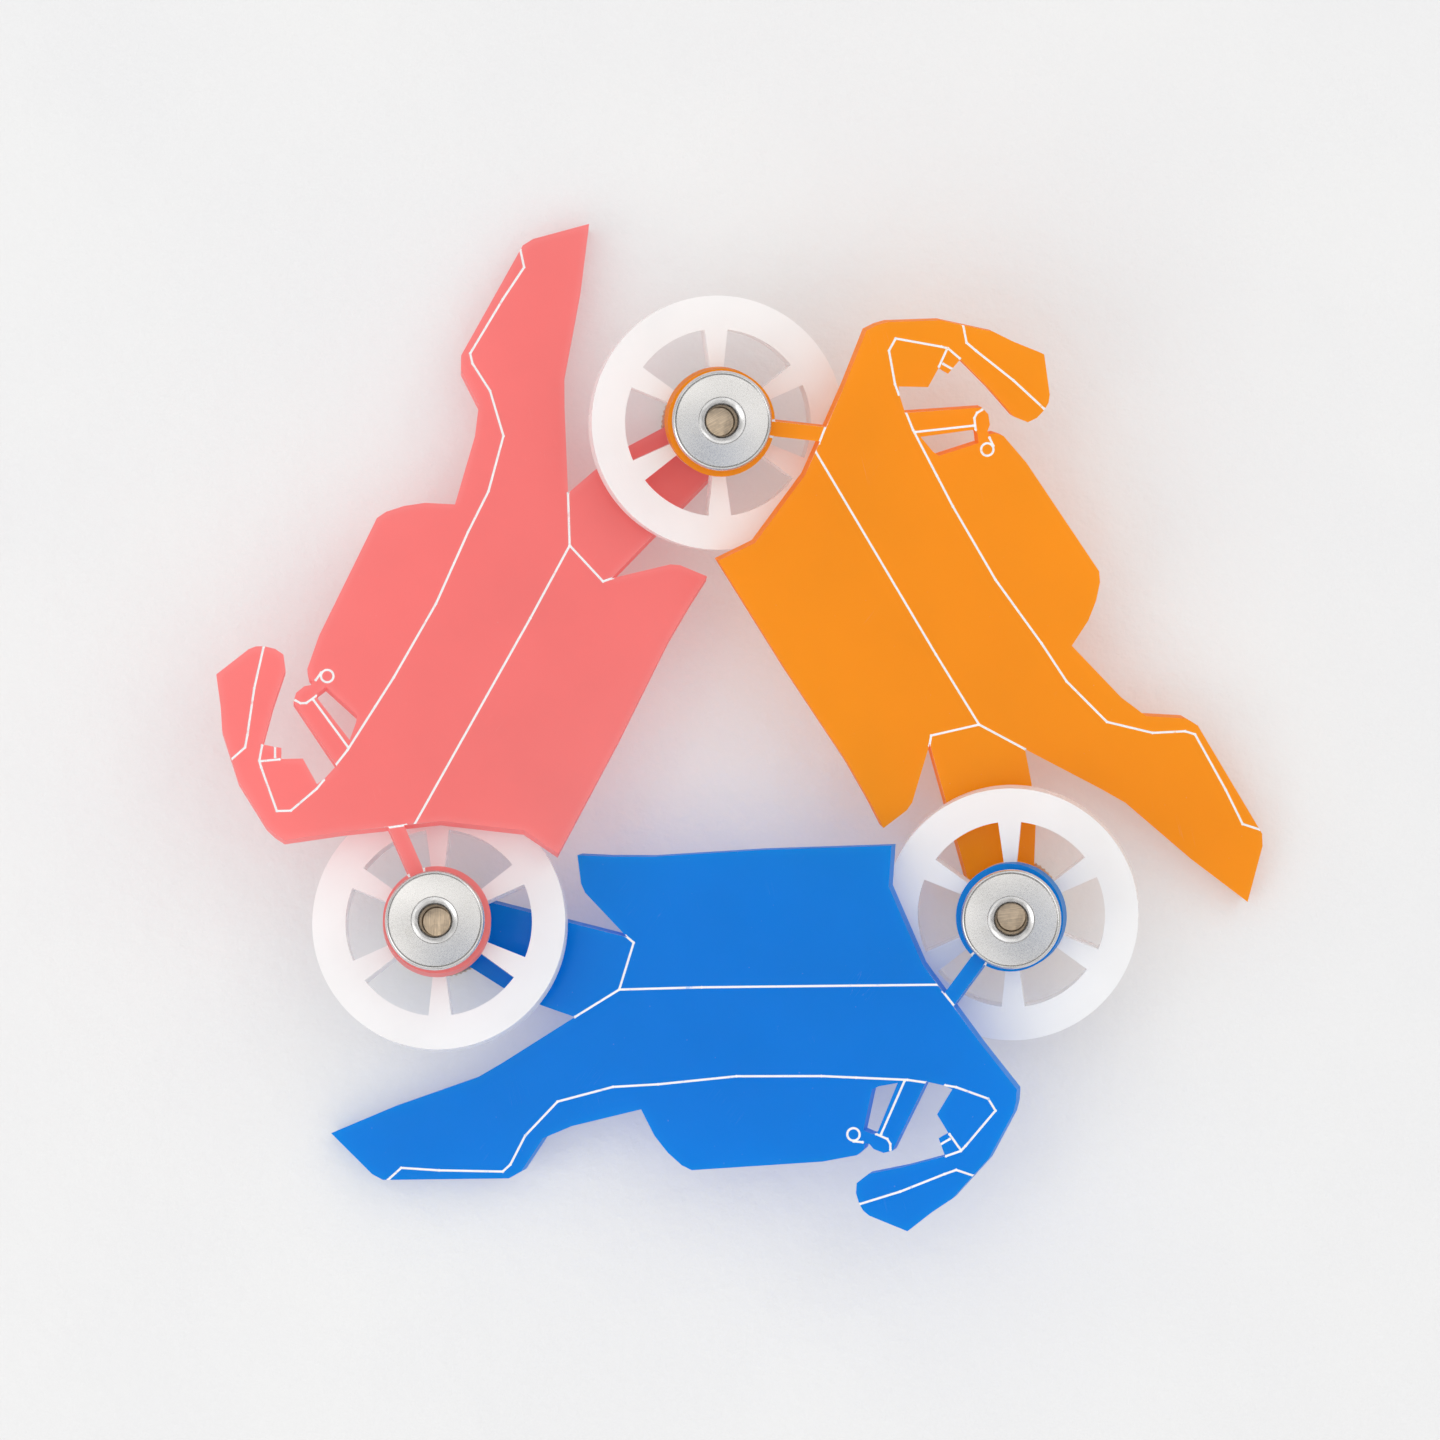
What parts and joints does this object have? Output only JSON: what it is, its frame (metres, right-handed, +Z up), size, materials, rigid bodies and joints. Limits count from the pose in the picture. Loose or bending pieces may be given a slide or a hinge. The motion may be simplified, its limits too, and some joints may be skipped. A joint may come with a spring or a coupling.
{
  "type": "ring of linked motorcycle cut-outs",
  "caption": "Ring of flat acrylic motorcycle silhouettes linked at their wheels, with free-spinning spoked wheels between overlapping sheets on metal sleeve-nut hubs.",
  "frame": {"origin": "on the ring's three-fold axis, at the level of the surface it stands on", "axes": "+Z up along the three-fold axis; +Y towards the hub between the pink and orange motorcycles; +X to the right, along the blue motorcycle"},
  "size_m": [0.105, 0.1019, 0.0169],
  "materials": {
    "pink_acrylic": "opaque cast acrylic, polished faces, glossy laser-cut edges, frosted engraving",
    "orange_acrylic": "opaque cast acrylic, polished faces, glossy laser-cut edges, frosted engraving",
    "blue_acrylic": "opaque cast acrylic, polished faces, glossy laser-cut edges, frosted engraving",
    "white_acrylic": "opal cast acrylic, polished faces, laser-cut edges",
    "satin_steel": "tumbled satin face, polished rim and flare",
    "bronze": "dull turned bronze-coloured metal, knurled edge"
  },
  "bodies": {
    "motorcycles": {"pink_motorcycle": "pink_acrylic", "orange_motorcycle": "orange_acrylic", "blue_motorcycle": "blue_acrylic"},
    "top_wheel": {"top_wheel": "white_acrylic"},
    "top_hub": {"top_sleeve_nut": "satin_steel", "top_hub_screw": "bronze"},
    "left_wheel": {"left_wheel": "white_acrylic"},
    "left_hub": {"left_sleeve_nut": "satin_steel", "left_hub_screw": "bronze"},
    "right_wheel": {"right_wheel": "white_acrylic"},
    "right_hub": {"right_sleeve_nut": "satin_steel", "right_hub_screw": "bronze"}
  },
  "joints": [
    {"name": "top_wheel_spin", "type": "hinge", "parent": "motorcycles", "child": "top_wheel", "pos_m": [-0.00001, 0.03317, 0.00859], "axis": [0.1305, 0, 0.9914], "continuous": true},
    {"name": "top_hub_turn", "type": "hinge", "parent": "motorcycles", "child": "top_hub", "pos_m": [0, 0.03317, 0.00869], "axis": [0.0785, 0, 0.9969], "continuous": true},
    {"name": "left_wheel_spin", "type": "hinge", "parent": "motorcycles", "child": "left_wheel", "pos_m": [-0.02872, -0.0166, 0.00859], "axis": [-0.0653, 0.113, 0.9914], "continuous": true},
    {"name": "left_hub_turn", "type": "hinge", "parent": "motorcycles", "child": "left_hub", "pos_m": [-0.02873, -0.01658, 0.00869], "axis": [-0.0392, 0.0679, 0.9969], "continuous": true},
    {"name": "right_wheel_spin", "type": "hinge", "parent": "motorcycles", "child": "right_wheel", "pos_m": [0.02873, -0.01657, 0.00859], "axis": [-0.0653, -0.113, 0.9914], "continuous": true},
    {"name": "right_hub_turn", "type": "hinge", "parent": "motorcycles", "child": "right_hub", "pos_m": [0.02873, -0.01658, 0.00869], "axis": [-0.0392, -0.0679, 0.9969], "continuous": true}
  ]
}
